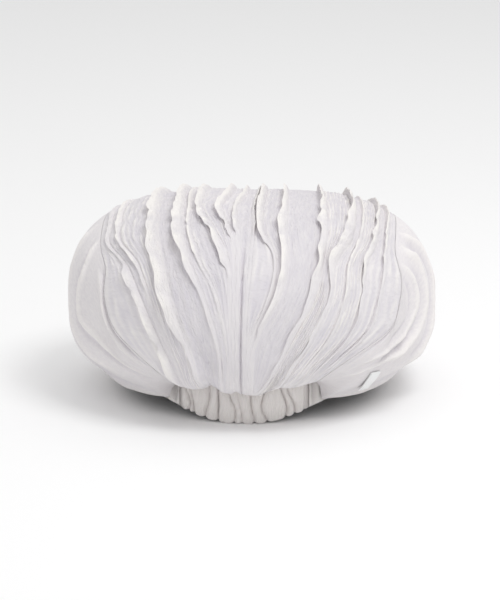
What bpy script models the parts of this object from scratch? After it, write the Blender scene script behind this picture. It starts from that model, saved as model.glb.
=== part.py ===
"""A puffed hunting cap in tucked crepe: a top panel, two side panels, a gathered back band, a headband and a peak.

Lengths are in millimetres here and become metres when a mesh is made. The back of the cap faces -Y, the peak
points along +Y, and the cap stands on z = 0 on its back band and on the front edge of its peak.
"""

import math

import bmesh
import bpy
import numpy as np

MM = 0.001

# Crown, measured from its middle: the level of its widest line
CROWN_MIDDLE = (0.0, 0.0, 54.0)
HALF_WIDTH = 131.0
BACK_REACH = 133.5
FRONT_REACH = 122.0
TOP_RISE = 84.0
UNDER_DROP = 60.0
UPPER_SQUARENESS = {"side": 3.15, "back": 2.3, "front": 2.1}
LOWER_SQUARENESS = {"side": 2.3, "back": 2.1, "front": 2.1}

WALL = 2.2
GAP = 0.3

# Headband: an oval for a 57 cm head, lowest at the nape
BAND_HALF_WIDTH = 86.0
BAND_HALF_LENGTH = 101.0
BAND_WALL = 2.4
NAPE_HALF_ANGLE = 31.0
RIM_FLAT_ANGLE = 4.0
RIM_RAMP_ANGLE = 46.0
RIM_RISE_SIDE = 12.0
RIM_FALL_ANGLE = 75.0
RIM_FALL_RAMP = 40.0
RIM_FALL_FRONT = 7.0
BAND_TOP_BACK = 23.0
BAND_TOP_SIDE = 22.0
BAND_TOP_RAMP = 25.0
BAND_ROWS = 4
FRONT_COLUMNS = 49
GATHERS = 11
GATHER_DEPTH = 2.2
SEAT_WIDTH = 2.0
SEAT_GAP = 0.6
TURN_SHARES = (0.25, 0.5, 0.75, 1.0)
TURN_POWER = 3

# How finely the crown is divided
BACK_ROWS = 20
BACK_ROWS_END = 100.0
FRONT_ROWS = 8
FRONT_ROWS_START = 111.0
SIDE_ROWS = 10
UNDER_START = 0.86
UNDER_SPREAD = 1.05
CORNER_SHARE = 0.07
SEAM_FLAT = 0.05
SEAM_FADE = 6.0

# Peak
PEAK_HALF_ANGLE = 62.0
PEAK_REACH = 50.0
PEAK_THICKNESS = 3.0
PEAK_ROOT_HEIGHT = 8.0
PEAK_DROP = 12.9
PEAK_DROP_POWER = 0.9
PEAK_ARCH = 4.5
PEAK_ROUNDING = 2.6
PEAK_END_REACH = 0.17
PEAK_SPLAY = 0.55
PEAK_ROLL_START = 0.8
PEAK_ROLL = 0.75
PEAK_ROWS = 8
PEAK_COLUMNS = 29

# The middle of the cap's whole length, which the parent empty puts on the origin
PLAN_MIDDLE = 7.7

# Label in the right side's lower seam
LABEL_LENGTH = 17.0
LABEL_WIDTH = 9.0
LABEL_THICKNESS = 1.2
LABEL_LIFT = 0.7
LABEL_MIDDLE_ANGLE = 45.0
LABEL_MIDDLE_RISE = -12.0

# Angles round the crown from straight back, over the top, to the front, at which the table gives each place
STATIONS = (-12, 4, 20, 32, 46, 66, 90, 140, 194)
LEFT_SEAM = (-50, -86, -97, -97, -102, -104, -104, -96, -62)
RIGHT_SEAM = (53, 97, 107, 108, 104, 104, 104, 96, 62)

# Each raised tuck of the top panel: how far it stands, how far its crest leans to the right, the angle at which
# it starts, how many times it dips on its way, and its distance from the middle at each station
TUCKS = (
    # name, stand, lean, start, dips, places
    ("left_outer", 3.2, -0.8, -16, 9, (-41, -57, -72, -82, -96, -98, -99, -88, -57)),
    ("left_second", 3.0, -0.6, 12, 11, (-36, -51, -65, -74, -88, -91, -91, -81, -52)),
    ("left_flap", 6.0, 0.8, -16, 13, (-27, -38, -50, -56, -62, -64, -65, -58, -40)),
    ("left_inner", 4.5, -0.8, -12, 10, (-13, -16, -28, -38, -44, -46, -48, -43, -31)),
    ("dart_left", 3.0, 0.5, 8, 8, (-9.4, -9.6, -19, -31, -39, -41, -43, -38, -27)),
    ("dart_upper", 5.0, -1.2, 24, 12, (-7.0, -7.2, -8.0, -11, -21, -33, -34, -30, -21)),
    ("top_curl", 4.5, -0.8, 40, 14, (-4.8, -5.0, -5.2, -6.0, -10, -19, -15, -13, -10)),
    ("top_left", 4.0, -0.6, 42, 12, (-2.6, -2.7, -2.8, -3.2, -5.6, -8.5, -4, -4, -3)),
    ("top_right", 4.0, 0.6, 38, 13, (2.6, 2.8, 4.0, 5.0, 5.4, 3.5, 5, 4, 3)),
    ("dart_right", 5.0, -1.0, 8, 12, (4.8, 5.4, 20, 22, 12.5, 10, 10, 9, 8)),
    ("right_first", 5.0, -1.0, 6, 7, (7.2, 9.0, 26, 30, 28, 27, 26, 23, 17)),
    ("right_second", 6.2, -1.6, -14, 8, (11, 31, 49, 53, 56, 55, 52, 47, 33)),
    ("right_third", 6.0, -1.4, -14, 12, (24, 46, 60, 62, 72, 75, 73, 65, 43)),
    ("right_pleat", 2.6, -0.4, -10, 9, (32, 58, 70, 72, 79, 81, 80, 71, 47)),
    ("right_fourth", 5.0, -1.0, -12, 11, (40, 71, 82, 83, 89, 91, 91, 81, 52)),
    ("right_outer", 3.2, -0.6, -10, 8, (46, 82, 93, 96, 97, 98, 98, 88, 57)),
)
TUCK_HALF_WIDTH = 1.7
TUCK_ROOM = 0.36
TUCK_GROWTH = 12.0
TUCK_FADE = 30.0
FULL_LEAN_HEIGHT = 3.0
DIP_SHARE = 0.22
TOP_GAIN = 0.3
TOP_GAIN_ANGLE = 82.0
TOP_GAIN_SPREAD = 26.0

# Soft hollows (negative) and swellings of the top panel, as bells across it and along it
HOLLOWS = (
    # name, across, angle, half width across, half angle along, rise
    ("pocket", 78, 47, 8, 9, -3.0),
    ("left_valley", -55, 30, 9, 14, -1.6),
    ("dip_over_band", -21, -4, 9, 5, -3.2),
    ("lip_over_band", -33, -9, 9, 5, 2.6),
    ("right_lip", 30, -8, 12, 5, 1.8),
    ("right_swell", 40, 45, 9, 26, 1.2),
)
DART_TOP = 43.0
DART_DEPTH = 2.6
DART_RAMP = 14.0
BILLOW = 0.9
BILLOW_WIDTH = 14.0

# Long soft creases of the side panels: where they start and end between seam (0) and band (1), and how deep
CREASES = (
    # name, at the back, at the front, depth, half width
    ("under_seam", 0.10, 0.10, 2.2, 0.035),
    ("upper_fold", 0.24, 0.20, -1.8, 0.050),
    ("middle_fold", 0.44, 0.36, 1.8, 0.045),
    ("lower_roll", 0.60, 0.55, -1.6, 0.060),
    ("lower_fold", 0.70, 0.66, 1.8, 0.040),
    ("drooping_roll", 0.82, 0.80, -2.2, 0.070),
)

CLOTH_COLOUR = (0.83, 0.82, 0.815, 1.0)
BAND_COLOUR = (0.76, 0.74, 0.73, 1.0)
LABEL_COLOUR = (0.88, 0.88, 0.88, 1.0)


def clear_scene():
    for thing in list(bpy.data.objects):
        bpy.data.objects.remove(thing, do_unlink=True)


def cloth(name, colour, roughness):
    material = bpy.data.materials.new(name)
    material.use_nodes = True
    shader = material.node_tree.nodes["Principled BSDF"]
    shader.inputs["Base Color"].default_value = colour
    shader.inputs["Roughness"].default_value = roughness
    shader.inputs["Metallic"].default_value = 0.0
    return material


def smooth_between(at, places):
    """A smooth curve through the places given at the stations."""
    stations = np.array(STATIONS, float)
    places = np.array(places, float)
    slopes = np.gradient(places, stations)
    at = np.clip(np.asarray(at, float), stations[0], stations[-1])
    left = np.clip(np.searchsorted(stations, at, side="right") - 1, 0, len(stations) - 2)
    step = stations[left + 1] - stations[left]
    t = (at - stations[left]) / step
    start = (1 + 2 * t) * (1 - t) ** 2 * places[left] + t * (1 - t) ** 2 * step * slopes[left]
    end = t * t * (3 - 2 * t) * places[left + 1] + t * t * (t - 1) * step * slopes[left + 1]
    return start + end


def ease(value):
    value = np.clip(value, 0.0, 1.0)
    return value * value * (3 - 2 * value)


def crown_radius(direction):
    """Distance from the crown's middle to its surface, along unit directions."""
    across = np.abs(direction[..., 0]) / HALF_WIDTH
    back = direction[..., 1] < 0
    along = np.abs(direction[..., 1]) / np.where(back, BACK_REACH, FRONT_REACH)
    up = direction[..., 2] >= 0
    side_share = across**2 / (across**2 + along**2 + 1e-12)
    upper = np.where(back, UPPER_SQUARENESS["back"], UPPER_SQUARENESS["front"])
    lower = np.where(back, LOWER_SQUARENESS["back"], LOWER_SQUARENESS["front"])
    end_power = np.where(up, upper, lower)
    side_power = np.where(up, UPPER_SQUARENESS["side"], LOWER_SQUARENESS["side"])
    power = end_power + (side_power - end_power) * side_share
    level = np.sqrt(across**2 + along**2)
    rise = np.abs(direction[..., 2]) / np.where(up, TOP_RISE, UNDER_DROP)
    return (level**power + rise**power) ** (-1 / power)


def on_crown(direction):
    direction = direction / np.linalg.norm(direction, axis=-1, keepdims=True)
    return np.array(CROWN_MIDDLE) + direction * crown_radius(direction)[..., None]


def crown_point(across, angle):
    """The crown's surface point with a given x, at an angle from straight back over the top."""
    across, angle = np.broadcast_arrays(np.asarray(across, float), np.radians(np.asarray(angle, float)))
    near = np.zeros_like(across)
    far = np.full_like(across, 2 * HALF_WIDTH)
    middle = np.array(CROWN_MIDDLE)
    for _ in range(40):
        half = (near + far) / 2
        offset = np.stack([across, -half * np.cos(angle), half * np.sin(angle)], -1)
        length = np.linalg.norm(offset, axis=-1)
        outside = length > crown_radius(offset / length[..., None])
        far = np.where(outside, half, far)
        near = np.where(outside, near, half)
    return middle + np.stack([across, -near * np.cos(angle), near * np.sin(angle)], -1)


def outward(points):
    """Unit directions from the crown's middle, blended with the level one so that they stand off its surface."""
    offset = points - np.array(CROWN_MIDDLE)
    scaled = offset / np.array([HALF_WIDTH**2, BACK_REACH**2, TOP_RISE**2])
    return scaled / np.linalg.norm(scaled, axis=-1, keepdims=True)


def band_point(turn, height, out=0.0):
    """A point on the headband's middle line, turn degrees from straight back towards +X."""
    turn = np.radians(np.asarray(turn, float))
    x = (BAND_HALF_WIDTH + out) * np.sin(turn)
    y = -(BAND_HALF_LENGTH + out) * np.cos(turn)
    return np.stack([x, y, np.broadcast_to(np.asarray(height, float), x.shape)], -1)


def rim_height(turn):
    """Height of the headband's lower edge: least at the nape, most beside the ears."""
    fall = RIM_FALL_FRONT * ease((np.abs(turn) - RIM_FALL_ANGLE) / RIM_FALL_RAMP)
    return RIM_RISE_SIDE * ease((np.abs(turn) - RIM_FLAT_ANGLE) / RIM_RAMP_ANGLE) - fall


def band_top(turn):
    return BAND_TOP_BACK + (BAND_TOP_SIDE - BAND_TOP_BACK) * ease((np.abs(turn) - NAPE_HALF_ANGLE) / BAND_TOP_RAMP)


def hollows(across, angle):
    rise = np.zeros(np.broadcast(across, angle).shape)
    for _name, x, at, width, spread, height in HOLLOWS:
        rise = rise + height * np.exp(-(((across - x) / width) ** 2) - ((angle - at) / spread) ** 2)
    return rise


def dart(angle):
    """Depth of the dart at the middle of the back, which closes towards its top."""
    return DART_DEPTH * ease((DART_TOP - np.asarray(angle, float)) / DART_RAMP)


def tuck_height(tuck, angle):
    _name, stand, _lean, start, dips, _places = tuck
    grow = ease((angle - start) / TUCK_GROWTH) * ease((STATIONS[-1] - angle) / TUCK_FADE)
    dip = 1 - DIP_SHARE * (1 - np.cos(np.radians(angle) * dips + stand)) / 2
    gain = 1 + TOP_GAIN * np.exp(-(((angle - TOP_GAIN_ANGLE) / TOP_GAIN_SPREAD) ** 2))
    return stand * grow * dip * gain


def panel_columns(angle):
    """Columns across the top panel at one angle: place, height over the crown, lean, and whether the lining has it."""
    centres = [float(smooth_between(angle, tuck[5])) for tuck in TUCKS]
    left = float(smooth_between(angle, LEFT_SEAM))
    right = float(smooth_between(angle, RIGHT_SEAM))
    marks = [(c, float(tuck_height(t, angle)), t[2]) for c, t in zip(centres, TUCKS)]
    middle = sum(c < 0 for c in centres)
    marks.insert(middle, (0.0, -float(dart(angle)), 0.0))
    columns = [(left, 0.0, 0.0, True)]
    for number, (centre, height, lean) in enumerate(marks):
        before = marks[number - 1][0] if number else left
        after = marks[number + 1][0] if number + 1 < len(marks) else right
        half = min(TUCK_HALF_WIDTH, TUCK_ROOM * (centre - before), TUCK_ROOM * (after - centre))
        if number:
            spread = centre - before
            columns.append(((before + centre) / 2, BILLOW * min(1.0, spread / BILLOW_WIDTH), 0.0, True))
        grown = min(1.0, abs(height) / FULL_LEAN_HEIGHT)
        columns.append((centre - half, 0.0, 0.0, False))
        columns.append((centre, height, lean * grown, number == middle))
        columns.append((centre + half, 0.0, 0.0, False))
    columns.append((right, 0.0, 0.0, True))
    return columns


def turn_of(points):
    """The turn round the headband, in degrees from straight back, that the points lie at."""
    return np.degrees(np.arctan2(points[..., 0] / BAND_HALF_WIDTH, -points[..., 1] / BAND_HALF_LENGTH))


def seat_on_band(points):
    """Where the crown's edge rests on top of the headband, inwards of the given points."""
    turn = turn_of(points)
    return band_point(turn, band_top(turn) + SEAT_GAP, BAND_WALL / 2 - SEAT_WIDTH)


def turned_in(edge, out, seat, share):
    """Outer and inner points of the crown's lower edge on its way in to its seat."""
    up = np.array([0.0, 0.0, WALL])
    level = np.array([1.0, 1.0, 0.0])
    rise = np.array([0.0, 0.0, 1.0])
    outer = edge * (1 - share) * level + seat * share * level
    outer = outer + (seat + (edge - seat) * (1 - share) ** TURN_POWER) * rise
    return outer, outer - out * WALL * (1 - share) + up * share


def panel_angles():
    back = np.linspace(STATIONS[0], BACK_ROWS_END, BACK_ROWS)
    return np.concatenate([back, np.linspace(FRONT_ROWS_START, STATIONS[-1], FRONT_ROWS)])


def top_row(angle):
    """One row of the top panel: surface points, outward directions, heights, leans and the lining's columns."""
    columns = panel_columns(angle)
    across = np.array([c[0] for c in columns])
    height = np.array([c[1] for c in columns])
    lean = np.array([c[2] for c in columns])
    lining = np.array([c[3] for c in columns])
    base = crown_point(across, angle)
    inside = ease((across - across[0]) / SEAM_FADE) * ease((across[-1] - across) / SEAM_FADE)
    return base, outward(base), height, lean, lining, hollows(across, angle) * inside


def top_panel():
    outer, inner = [], []
    for angle in panel_angles():
        base, out, height, lean, lining, soft = top_row(angle)
        raised = base + out * (height + soft)[:, None]
        raised[:, 0] += lean
        sunk = np.minimum(height, 0.0) + np.minimum(soft, 0.0) - WALL
        outer.append(raised)
        inner.append((base + out * sunk[:, None])[lining])
    for end in (0, -1):
        base, out, height, lean, lining, soft = top_row(STATIONS[end])
        seat = seat_on_band(base)
        for share in TURN_SHARES:
            row, under = turned_in(base, out, seat, share)
            lift = (height + soft)[:, None] * (1 - share) ** 2
            row = row + out * lift
            under = under + out * np.minimum(lift, 0.0)
            if end == 0:
                outer.insert(0, row)
                inner.insert(0, under[lining])
            else:
                outer.append(row)
                inner.append(under[lining])
    return outer, inner


def corner_path(edge, out, seat, part):
    """The turned-in edge at a share of its way, read along the same straight stretches as the top panel's."""
    stops = (0.0,) + TURN_SHARES
    lower = max(n for n, stop in enumerate(stops) if stop <= part or n == 0)
    lower = min(lower, len(stops) - 2)
    t = (part - stops[lower]) / (stops[lower + 1] - stops[lower])
    first = turned_in(edge, out, seat, stops[lower])
    second = turned_in(edge, out, seat, stops[lower + 1])
    return [a + (b - a) * t for a, b in zip(first, second)]


def side_panel(side):
    """Rows from the seam to the headband, each running from back to front."""
    angle = panel_angles()
    share = (angle - angle[0]) / (angle[-1] - angle[0])
    seam = LEFT_SEAM if side < 0 else RIGHT_SEAM
    apart = np.array([side * GAP, 0.0, 0.0])
    start = crown_point(smooth_between(angle, seam), angle)
    start_out = outward(start)
    corner_seat = seat_on_band(start)
    first_turn = turn_of(corner_seat[0])
    last_turn = turn_of(corner_seat[-1])
    turn = first_turn + (last_turn - first_turn) * share
    low = under_edge(turn)
    middle = np.array(CROWN_MIDDLE)
    from_seam = (start - middle) / np.linalg.norm(start - middle, axis=-1, keepdims=True)
    to_low = (low - middle) / np.linalg.norm(low - middle, axis=-1, keepdims=True)
    seat = band_point(turn, band_top(turn) + SEAT_GAP, BAND_WALL / 2 - SEAT_WIDTH)
    corner = 1 - ease(share / CORNER_SHARE) * ease((1 - share) / CORNER_SHARE)
    outer, inner = [], []
    turned = [UNDER_START + (1 - UNDER_START) * part for part in TURN_SHARES]
    for t in np.concatenate([np.linspace(0, UNDER_START, SIDE_ROWS), turned]):
        if t <= UNDER_START:
            base = on_crown(slerp(from_seam, to_low, t / UNDER_START))
            relief = creases(t, share) * (1 - corner) * ease(t / SEAM_FLAT) * ease((UNDER_START - t) / SEAM_FLAT)
            if side > 0:
                relief = relief * beside_label(base)
            out = outward(base)
            face = base + out * relief[:, None]
            back = base + out * (np.minimum(relief, 0.0) - WALL)[:, None]
        else:
            part = (t - UNDER_START) / (1 - UNDER_START)
            face, back = turned_in(low, outward(low), seat, part)
        corner_face, corner_back = corner_path(start, start_out, corner_seat, t)
        outer.append(face + (corner_face - face) * corner[:, None] + apart)
        inner.append(back + (corner_back - back) * corner[:, None] + apart)
    return outer, inner


def slerp(a, b, t):
    dot = np.clip((a * b).sum(-1, keepdims=True), -1, 1)
    angle = np.arccos(dot)
    flat = angle < 1e-4
    angle = np.where(flat, 1.0, angle)
    both = (np.sin((1 - t) * angle) * a + np.sin(t * angle) * b) / np.sin(angle)
    return np.where(flat, a, both)


def under_edge(turn):
    """The crown's underside a little outside the headband."""
    plan = band_point(turn, CROWN_MIDDLE[2], BAND_WALL) * np.array([UNDER_SPREAD, UNDER_SPREAD, 1.0])
    near = np.full(turn.shape, 0.0)
    deep = np.full(turn.shape, UNDER_DROP)
    middle = np.array(CROWN_MIDDLE)
    for _ in range(40):
        half = (near + deep) / 2
        offset = plan - middle - np.stack([0 * half, 0 * half, half], -1)
        length = np.linalg.norm(offset, axis=-1)
        outside = length > crown_radius(offset / length[..., None])
        deep = np.where(outside, half, deep)
        near = np.where(outside, near, half)
    return plan - np.stack([0 * near, 0 * near, near], -1)


def label_middle():
    turn = math.radians(LABEL_MIDDLE_ANGLE)
    rise = math.radians(LABEL_MIDDLE_RISE)
    level = math.cos(rise)
    return on_crown(np.array([math.sin(turn) * level, -math.cos(turn) * level, math.sin(rise)]))


def beside_label(points):
    """Nought under the label, one away from it, so that the cloth lies flat beneath it."""
    apart = np.linalg.norm(points - label_middle(), axis=-1)
    return ease((apart - 0.5 * LABEL_LENGTH) / LABEL_LENGTH)


def creases(t, share):
    rise = np.zeros(share.shape)
    for _name, back, front, depth, width in CREASES:
        place = back + (front - back) * share
        rise = rise - depth * np.exp(-(((t - place) / width) ** 2))
    return rise


def band_wall(turns, radial, rows):
    """A wall round part of the head: outer and inner rows from its lower edge to its top."""
    outer, inner = [], []
    for share in np.linspace(0, 1, rows):
        height = rim_height(turns) + (band_top(turns) - rim_height(turns)) * share
        outer.append(band_point(turns, height, BAND_WALL / 2 + radial))
        inner.append(band_point(turns, height, -BAND_WALL / 2 + radial))
    return outer, inner


def back_band():
    half_gap = math.degrees(GAP / 2 / BAND_HALF_LENGTH)
    turns = np.linspace(-NAPE_HALF_ANGLE + half_gap, NAPE_HALF_ANGLE - half_gap, GATHERS * 4 + 1)
    share = (turns + NAPE_HALF_ANGLE) / (2 * NAPE_HALF_ANGLE)
    wave = GATHER_DEPTH * np.abs(np.sin(math.pi * GATHERS * share)) * np.sin(math.pi * share) ** 0.3
    return band_wall(turns, wave, BAND_ROWS)


def front_band():
    half_gap = math.degrees(GAP / 2 / BAND_HALF_LENGTH)
    turns = np.linspace(NAPE_HALF_ANGLE + half_gap, 360 - NAPE_HALF_ANGLE - half_gap, FRONT_COLUMNS)
    signed = np.where(turns > 180, turns - 360, turns)
    return band_wall(signed, 0.0, 2)


def peak():
    """Rows from the root at the headband to the outer edge, each running from side to side."""
    share = np.linspace(-1, 1, PEAK_COLUMNS)
    root = band_point(180 + PEAK_HALF_ANGLE * share, 0.0, BAND_WALL / 2)
    out = root[:, :2] / np.linalg.norm(root[:, :2], axis=-1, keepdims=True)
    lead = out * PEAK_SPLAY + np.array([0.0, 1.0]) * (1 - PEAK_SPLAY)
    lead = lead / np.linalg.norm(lead, axis=-1, keepdims=True)
    rounded = np.sqrt(1 - (1 - PEAK_END_REACH**2) * np.abs(share) ** PEAK_ROUNDING)
    top, under = [], []
    for t in np.linspace(0, 1, PEAK_ROWS):
        reach = GAP + PEAK_REACH * t * rounded
        place = root.copy()
        place[:, :2] += lead * reach[:, None]
        fall = np.clip((reach - GAP) / PEAK_REACH, 0, 1)
        arch = PEAK_ARCH * (1 - share**2) * fall
        place[:, 2] = PEAK_ROOT_HEIGHT - PEAK_DROP * fall**PEAK_DROP_POWER + arch
        roll = 1 - PEAK_ROLL * ease((t - PEAK_ROLL_START) / (1 - PEAK_ROLL_START))
        top.append(place + np.array([0.0, 0.0, PEAK_THICKNESS * (0.5 + roll / 2)]))
        under.append(place + np.array([0.0, 0.0, PEAK_THICKNESS * (0.5 - roll / 2)]))
    return top, under


def side_label():
    """A flat folded tab that lies on the right side's lower seam."""
    middle = label_middle()
    out = outward(middle)
    along = np.array([-0.33, 0.22, -0.9])
    along = along - out * (along @ out)
    along = along / np.linalg.norm(along)
    wide = np.cross(out, along)
    outer, inner = [], []
    for down in np.linspace(-LABEL_LENGTH / 2, LABEL_LENGTH / 2, 6):
        places = np.linspace(-LABEL_WIDTH / 2, LABEL_WIDTH / 2, 4)
        flat = middle + along * down + wide * places[:, None]
        seat = on_crown(flat - np.array(CROWN_MIDDLE))
        outer.append(seat + out * (LABEL_LIFT + LABEL_THICKNESS))
        inner.append(seat + out * LABEL_LIFT)
    return outer, inner


def zipped(first, second, shift_first, shift_second):
    """Faces between two open lines of points that start and end together, matched by their share of the way."""
    faces = []
    i = j = 0
    last_i, last_j = len(first) - 1, len(second) - 1
    while i < last_i or j < last_j:
        ahead_i = first[i + 1] if i < last_i else 2.0
        ahead_j = second[j + 1] if j < last_j else 2.0
        if ahead_i <= ahead_j:
            faces.append((shift_first + i, shift_first + i + 1, shift_second + j))
            i += 1
        else:
            faces.append((shift_first + i, shift_second + j + 1, shift_second + j))
            j += 1
    return faces


def share_of_way(points):
    steps = np.linalg.norm(np.diff(points, axis=0), axis=1)
    way = np.concatenate([[0.0], np.cumsum(steps)])
    return way / way[-1]


def shell(name, outer, inner, material, parent):
    """A closed wall between two sheets of rows with the same number of rows, joined along all four edges."""
    rows = len(outer)
    wide, narrow = len(outer[0]), len(inner[0])
    points = np.concatenate([np.concatenate(outer), np.concatenate(inner)])
    start = rows * wide
    faces = []
    for row in range(rows - 1):
        for column in range(wide - 1):
            a = row * wide + column
            faces.append((a, a + 1, a + wide + 1, a + wide))
        for column in range(narrow - 1):
            a = start + row * narrow + column
            faces.append((a, a + narrow, a + narrow + 1, a + 1))
        a, b = row * wide, start + row * narrow
        faces.append((a, a + wide, b + narrow, b))
        faces.append((a + wide - 1, b + narrow - 1, b + 2 * narrow - 1, a + 2 * wide - 1))
    for row in (0, rows - 1):
        first, second = share_of_way(outer[row]), share_of_way(inner[row])
        if wide == narrow:
            a, b = row * wide, start + row * narrow
            faces += [(a + c, b + c, b + c + 1, a + c + 1) for c in range(wide - 1)]
        else:
            faces += zipped(first, second, row * wide, start + row * narrow)
    mesh = bpy.data.meshes.new(name)
    mesh.from_pydata([tuple(p * MM) for p in points], [], faces)
    sheet = bmesh.new()
    sheet.from_mesh(mesh)
    bmesh.ops.recalc_face_normals(sheet, faces=sheet.faces)
    sheet.to_mesh(mesh)
    sheet.free()
    mesh.shade_smooth()
    mesh.set_sharp_from_angle(angle=math.radians(40))
    thing = bpy.data.objects.new(name, mesh)
    thing.data.materials.append(material)
    thing.parent = parent
    bpy.context.scene.collection.objects.link(thing)
    return thing


def build():
    clear_scene()
    cap = bpy.data.objects.new("cap", None)
    cap.location = (0.0, -PLAN_MIDDLE * MM, 0.0)
    bpy.context.scene.collection.objects.link(cap)
    crepe = cloth("tucked_crepe", CLOTH_COLOUR, 0.9)
    plain = cloth("band_cloth", BAND_COLOUR, 0.92)
    woven = cloth("label_tape", LABEL_COLOUR, 0.7)
    shell("top_panel", *top_panel(), crepe, cap)
    shell("left_side_panel", *side_panel(-1), crepe, cap)
    shell("right_side_panel", *side_panel(1), crepe, cap)
    shell("back_band", *back_band(), plain, cap)
    shell("front_band", *front_band(), plain, cap)
    shell("peak", *peak(), crepe, cap)
    shell("side_label", *side_label(), woven, cap)


build()
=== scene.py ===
import math
import bpy
import numpy as np
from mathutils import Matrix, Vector


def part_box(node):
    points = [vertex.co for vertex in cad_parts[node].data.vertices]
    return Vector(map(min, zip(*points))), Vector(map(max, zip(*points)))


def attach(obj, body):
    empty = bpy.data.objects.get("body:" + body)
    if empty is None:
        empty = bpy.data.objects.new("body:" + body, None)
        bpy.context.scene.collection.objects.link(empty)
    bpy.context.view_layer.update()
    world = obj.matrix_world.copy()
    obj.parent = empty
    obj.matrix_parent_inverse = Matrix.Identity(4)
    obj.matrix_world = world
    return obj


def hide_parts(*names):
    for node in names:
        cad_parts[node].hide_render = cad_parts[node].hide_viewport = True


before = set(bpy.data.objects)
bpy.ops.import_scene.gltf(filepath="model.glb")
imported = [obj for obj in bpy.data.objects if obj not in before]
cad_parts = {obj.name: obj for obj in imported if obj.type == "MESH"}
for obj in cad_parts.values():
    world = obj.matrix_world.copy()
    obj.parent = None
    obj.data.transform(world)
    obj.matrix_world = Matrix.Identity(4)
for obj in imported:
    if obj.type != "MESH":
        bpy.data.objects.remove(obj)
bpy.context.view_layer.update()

print("frame loaded:", sorted(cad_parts))

# The crown's form in millimetres, the same as the solids have
crown = {
    "middle": np.array([0.0, 0.0, 54.0]),
    "halfWidth": 131.0,
    "backReach": 133.5,
    "frontReach": 122.0,
    "topRise": 84.0,
    "underDrop": 60.0,
    "upper": {"side": 3.15, "back": 2.3, "front": 2.1},
    "lower": {"side": 2.3, "back": 2.1, "front": 2.1},
    "wall": 2.0,
    "turnPower": 3,
}
band = {
    "halfWidth": 86.0,
    "halfLength": 101.0,
    "wall": 2.4,
    "napeAngle": 31.0,
    "rimFlat": 4.0,
    "rimRamp": 46.0,
    "rimRise": 12.0,
    "frontFrom": 75.0,
    "frontRamp": 40.0,
    "frontFall": 7.0,
    "topBack": 23.0,
    "topSide": 22.0,
    "topRamp": 25.0,
    "hemLift": 1.9,
    "hemSpread": 108.0,
    "hemEnd": 50.0,
    "hemFade": 16.0,
    "seatWidth": 2.0,
    "seatGap": 0.6,
}
peakSize = {
    "halfAngle": 62.0,
    "reach": 50.0,
    "thickness": 3.0,
    "root": 8.0,
    "drop": 12.9,
    "arch": 4.5,
    "gap": 0.3,
}

# Where the solids' own middle lies along the cap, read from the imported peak
peakTip = band["halfLength"] + band["wall"] / 2 + peakSize["gap"] + peakSize["reach"]
planMiddle = round(peakTip - 1000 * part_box("peak")[1][1], 2)


def toFrame(points):
    return (np.asarray(points, float) - np.array([0.0, planMiddle, 0.0])) * 0.001


def ease(value):
    value = np.clip(value, 0.0, 1.0)
    return value * value * (3 - 2 * value)


def unit(vectors):
    return vectors / np.linalg.norm(vectors, axis=-1, keepdims=True)


def crownRadius(direction):
    across = np.abs(direction[..., 0]) / crown["halfWidth"]
    back = direction[..., 1] < 0
    along = np.abs(direction[..., 1]) / np.where(back, crown["backReach"], crown["frontReach"])
    up = direction[..., 2] >= 0
    sideShare = across**2 / (across**2 + along**2 + 1e-12)
    upper, lower = crown["upper"], crown["lower"]
    above = np.where(back, upper["back"], upper["front"])
    below = np.where(back, lower["back"], lower["front"])
    endPower = np.where(up, above, below)
    sidePower = np.where(up, upper["side"], lower["side"])
    power = endPower + (sidePower - endPower) * sideShare
    rise = np.abs(direction[..., 2]) / np.where(up, crown["topRise"], crown["underDrop"])
    return (np.sqrt(across**2 + along**2) ** power + rise**power) ** (-1 / power)


def onCrown(direction):
    direction = unit(direction)
    return crown["middle"] + direction * crownRadius(direction)[..., None]


def throughCrown(start, way, furthest):
    # where a way from a place inside meets the crown's form, both measured from its middle
    near = np.zeros(start.shape[:-1])
    far = near + furthest
    for _ in range(34):
        half = (near + far) / 2
        offset = start + way * half[..., None]
        length = np.linalg.norm(offset, axis=-1)
        outside = length > crownRadius(offset / length[..., None])
        far, near = np.where(outside, half, far), np.where(outside, near, half)
    return crown["middle"] + (start + way * near[..., None])


def crownPoint(across, angle):
    # the surface point with a given x, at an angle from straight back over the top
    across, angle = np.broadcast_arrays(np.asarray(across, float), np.radians(np.asarray(angle, float)))
    start = across[..., None] * np.array([1.0, 0.0, 0.0])
    way = np.stack([0 * across, -np.cos(angle), np.sin(angle)], -1)
    return throughCrown(start, way, 2 * crown["halfWidth"])


def outward(points):
    reach = np.array([crown["halfWidth"], crown["backReach"], crown["topRise"]])
    return unit((points - crown["middle"]) / reach**2)


def bandPoint(turn, height, out=0.0):
    turn = np.radians(np.asarray(turn, float))
    x = (band["halfWidth"] + out) * np.sin(turn)
    y = -(band["halfLength"] + out) * np.cos(turn)
    return np.stack([x, y, np.broadcast_to(np.asarray(height, float), x.shape)], -1)


def rimHeight(turn):
    fall = band["frontFall"] * ease((np.abs(turn) - band["frontFrom"]) / band["frontRamp"])
    return band["rimRise"] * ease((np.abs(turn) - band["rimFlat"]) / band["rimRamp"]) - fall


def bandTop(turn):
    # the band's upper edge follows the crown's hem, which is drawn up in places at the back
    turn = np.asarray(turn, float)
    near = ease((band["hemEnd"] - np.abs(turn)) / band["hemFade"])
    hemPlace = band["hemSpread"] * np.tan(np.radians(np.clip(turn, -60, 60)))
    drawn = band["hemLift"] * np.interp(hemPlace, topPanel["hemPlaces"], topPanel["hemRise"]) * near
    toSide = ease((np.abs(turn) - band["napeAngle"]) / band["topRamp"])
    return band["topBack"] + (band["topSide"] - band["topBack"]) * toSide + drawn


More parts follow.
